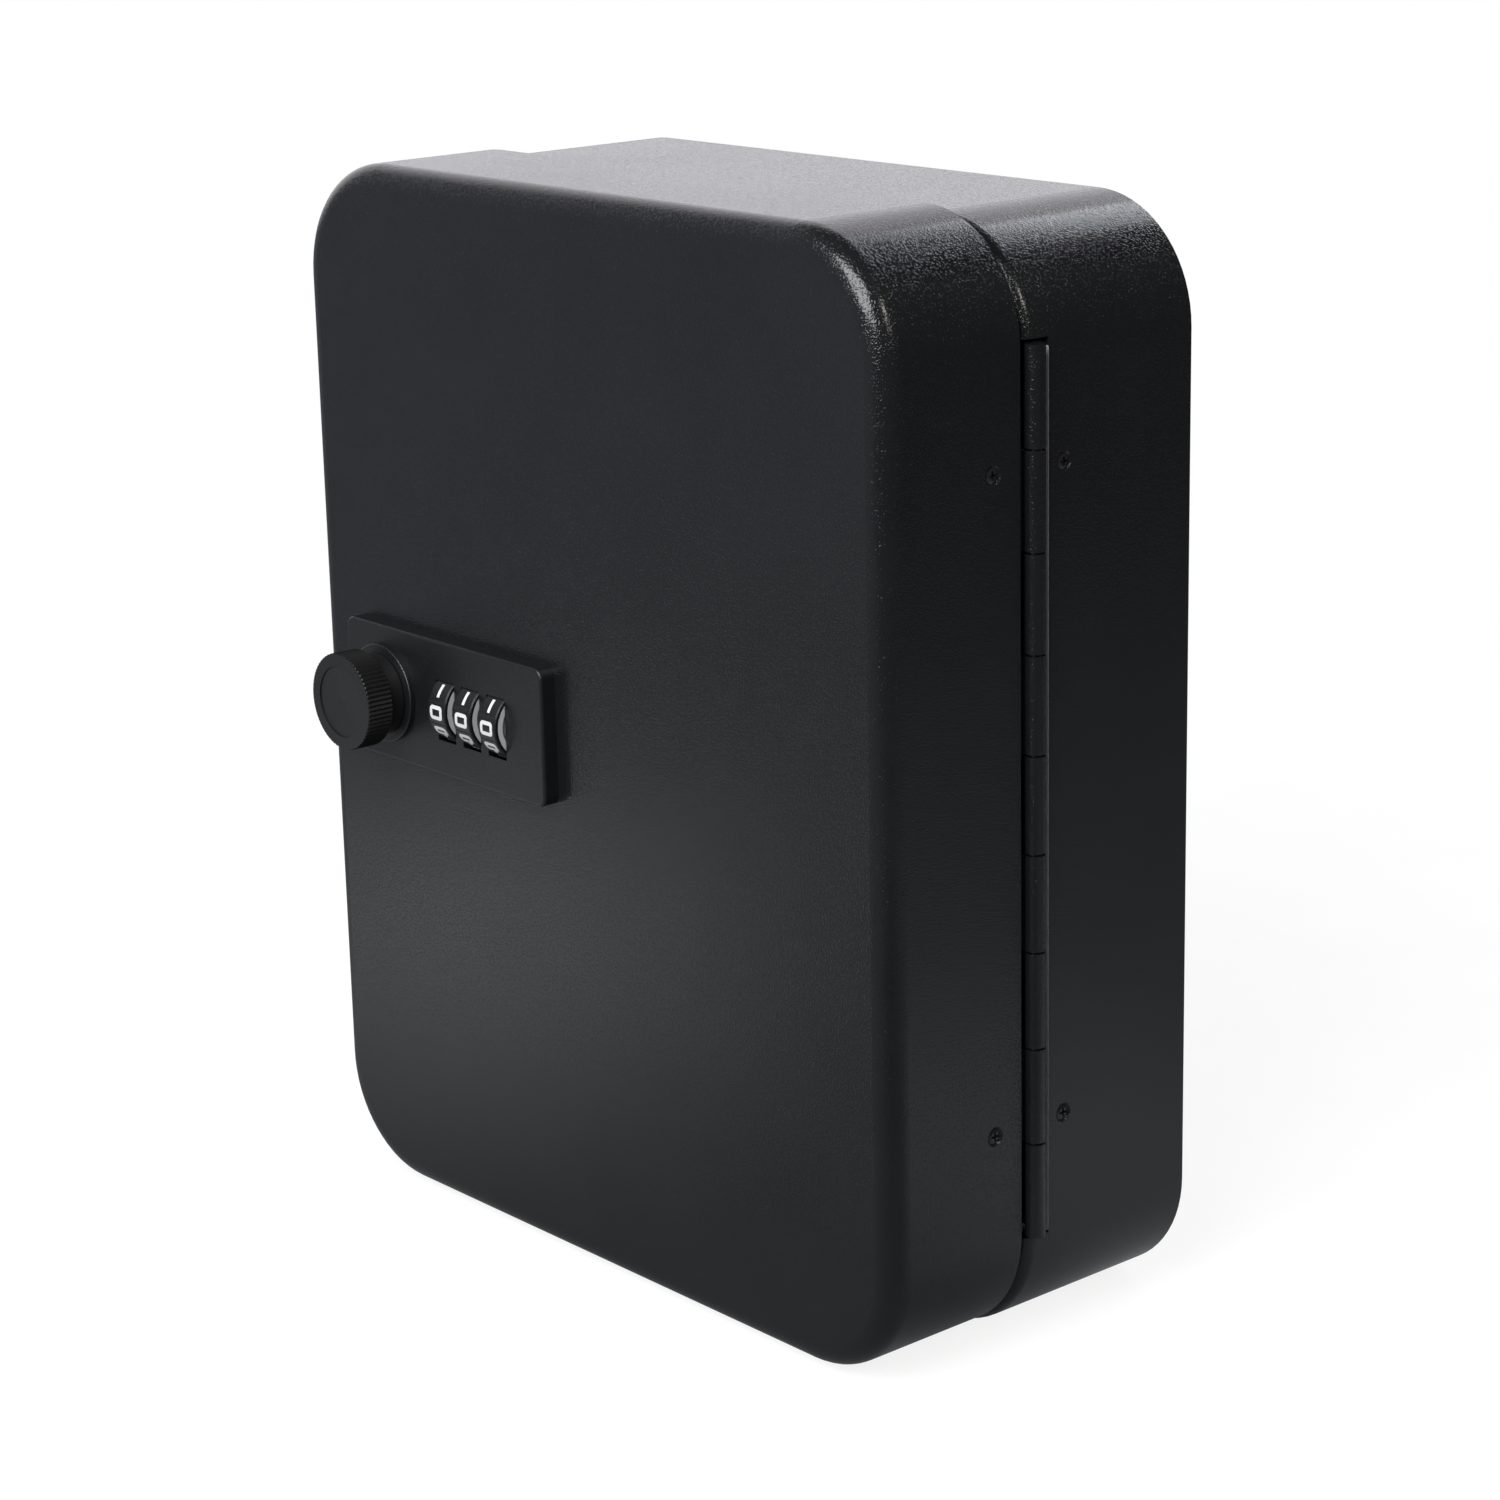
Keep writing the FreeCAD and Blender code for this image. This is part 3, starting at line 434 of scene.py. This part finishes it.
def floor_look():
    made, tree = material("pale_floor")
    path = add(tree, "ShaderNodeLightPath").outputs
    place = object_place(tree)
    # Glossy rays see a painted glow: a base level, with painted pools of light and shadow added
    painted_reflection = PAINTED_REFLECTION_LEVEL
    for centre, along, length, width, amount in PAINTED_FLOOR_POOLS:
        patch = math_node(tree, "MULTIPLY", pool(tree, place, centre, along, length, width), amount)
        painted_reflection = math_node(tree, "ADD", painted_reflection, patch)
    painted_reflection = math_node(tree, "MAXIMUM", painted_reflection, PAINTED_REFLECTION_LEAST)
    dust = tint(tree, noise(tree, place, FLOOR_DUST_SCALE, 3.0), FLOOR_DARK, FLOOR_LIGHT)
    matt = add(tree, "ShaderNodeBsdfDiffuse", {"Color": dust}).outputs[0]
    glow = emission(tree, {"Strength": math_node(tree, "MULTIPLY", seen_directly(tree, path), FLOOR_GLOW)})
    lit = add(tree, "ShaderNodeAddShader", {0: matt, 1: glow}).outputs[0]
    painted_reflection_glow = emission(tree, {"Color": PAINTED_REFLECTION_COLOUR, "Strength": painted_reflection})
    surface = mix(tree, path["Is Glossy Ray"], lit, painted_reflection_glow)
    clear = add(tree, "ShaderNodeBsdfTransparent").outputs[0]
    uncovered = smooth(tree, vector_node(tree, "LENGTH", place), *FLOOR_FADE)
    output = add(tree, "ShaderNodeOutputMaterial")
    tree.links.new(mix(tree, uncovered, surface, clear), output.inputs["Surface"])
    return made


def floor():
    mesh = bmesh.new()
    turns = [2 * math.pi * k / FLOOR_SIDES for k in range(FLOOR_SIDES)]
    centre = mesh.verts.new((0, 0, 0))
    rings = [[mesh.verts.new((r * math.cos(t), r * math.sin(t), 0)) for t in turns] for r in FLOOR_RADII]
    for k in range(FLOOR_SIDES):
        after = (k + 1) % FLOOR_SIDES
        mesh.faces.new((centre, rings[0][k], rings[0][after]))
        for inner, outer in zip(rings, rings[1:]):
            mesh.faces.new((inner[k], outer[k], outer[after], inner[after]))
    disc = piece("floor", mesh, floor_look())
    disc.location = (MIDDLE[0], MIDDLE[1], floor_height - FLOOR_GAP)
    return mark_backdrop(disc)


floor()

# Light: a white world for the camera, a dim room with a pale backdrop for glossy rays, and three softboxes
WHITE = (1.0, 1.0, 1.0, 1.0)
SOFT_LEVEL = 0.28
ROOM_LEVEL = 0.06
FRONT_LEFT_LEVEL = 0.24
BACKDROP_LEVEL = 1.25
ROOM_SHADE = (0.85, 0.89, 1.0)
BACKDROP_SHADE = (0.965, 0.95, 1.0)
WATTS_PER_LEVEL = 4.0


def facing(tree, direction, towards, start, end):
    """1 where a world direction points towards a side of the room, 0 elsewhere."""
    return smooth(tree, vector_node(tree, "DOT_PRODUCT", direction, towards), start, end)


def world_light():
    world = bpy.data.worlds.new("studio")
    scene.world = world
    world.use_nodes = True
    tree = world.node_tree
    tree.nodes.clear()
    path = add(tree, "ShaderNodeLightPath").outputs
    direction = add(tree, "ShaderNodeTexCoord").outputs["Generated"]
    rise = add(tree, "ShaderNodeSeparateXYZ", {"Vector": direction}).outputs["Z"]
    above_floor = smooth(tree, rise, -0.10, 0.06)
    below_top = smooth(tree, rise, 0.74, 0.62)
    backdrop = math_node(tree, "MULTIPLY", facing(tree, direction, (-0.76, 0.65, 0.0), 0.42, 0.75),
                         math_node(tree, "MULTIPLY", above_floor, below_top))
    front_left = facing(tree, direction, (-0.76, -0.65, 0.0), 0.30, 0.85)
    room = math_node(tree, "ADD", ROOM_LEVEL, math_node(tree, "MULTIPLY", front_left, FRONT_LEFT_LEVEL))
    room = math_node(tree, "MAXIMUM", room, math_node(tree, "MULTIPLY", backdrop, BACKDROP_LEVEL))
    shade = tint(tree, backdrop, ROOM_SHADE, BACKDROP_SHADE, 0.0, 1.0)
    soft = background(tree, WHITE, SOFT_LEVEL)
    unseen = mix(tree, path["Is Glossy Ray"], soft, background(tree, shade, room))
    output = add(tree, "ShaderNodeOutputWorld")
    shown = mix(tree, seen_directly(tree, path), unseen, background(tree, WHITE, 1.0))
    tree.links.new(shown, output.inputs["Surface"])


def softbox(name, place, aim, width, height, level, colour):
    lamp = bpy.data.lights.new(name, "AREA")
    lamp.shape = "RECTANGLE"
    lamp.size = width
    lamp.size_y = height
    lamp.energy = WATTS_PER_LEVEL * width * height * level
    lamp.color = colour
    made = bpy.data.objects.new(name, lamp)
    scene.collection.objects.link(made)
    made.location = place
    made.rotation_mode = "QUATERNION"
    made.rotation_quaternion = (Vector(place) - Vector(aim)).to_track_quat("Z", "Y")
    made.visible_camera = False
    return made


world_light()
softbox("front_box", (0.33, -1.02, 0.82), MIDDLE, 0.85, 0.85, 7.0, (0.97, 0.985, 1.0))
softbox("top_box", (-0.14, 0.78, 0.68), MIDDLE, 0.36, 0.36, 2.6, (0.89, 0.945, 1.0))
softbox("right_box", (1.074, 0.040, 0.76), (0.09, -0.085, 0.11), 0.24, 0.40, 6.0, (1.0, 0.95, 0.84))

# Camera at the photograph's viewpoint, from a pinhole camera fitted to the outline
CAMERA_PLACE = (0.637657, -0.588932, 0.230581)
CAMERA_AZIMUTH = math.radians(49.2986)
CAMERA_ELEVATION = math.radians(15.8502)
CAMERA_ROLL = math.radians(-1.2627)
LENS_MM = 90.065
SENSOR_MM = 36.0


def photo_camera():
    level = math.cos(CAMERA_ELEVATION)
    back = Vector((math.sin(CAMERA_AZIMUTH) * level, -math.cos(CAMERA_AZIMUTH) * level, math.sin(CAMERA_ELEVATION)))
    right = Vector((math.cos(CAMERA_AZIMUTH), math.sin(CAMERA_AZIMUTH), 0.0))
    up = back.cross(right)
    tilted_right = right * math.cos(CAMERA_ROLL) + up * math.sin(CAMERA_ROLL)
    tilted_up = up * math.cos(CAMERA_ROLL) - right * math.sin(CAMERA_ROLL)
    lens = bpy.data.cameras.new("camera")
    lens.lens = LENS_MM
    lens.sensor_width = SENSOR_MM
    lens.sensor_fit = "HORIZONTAL"
    lens.clip_start = 0.01
    lens.clip_end = 50.0
    made = bpy.data.objects.new("camera", lens)
    scene.collection.objects.link(made)
    axes = Matrix((tilted_right, tilted_up, back)).transposed().to_4x4()
    made.matrix_world = Matrix.Translation(CAMERA_PLACE) @ axes
    return made


scene.camera = photo_camera()
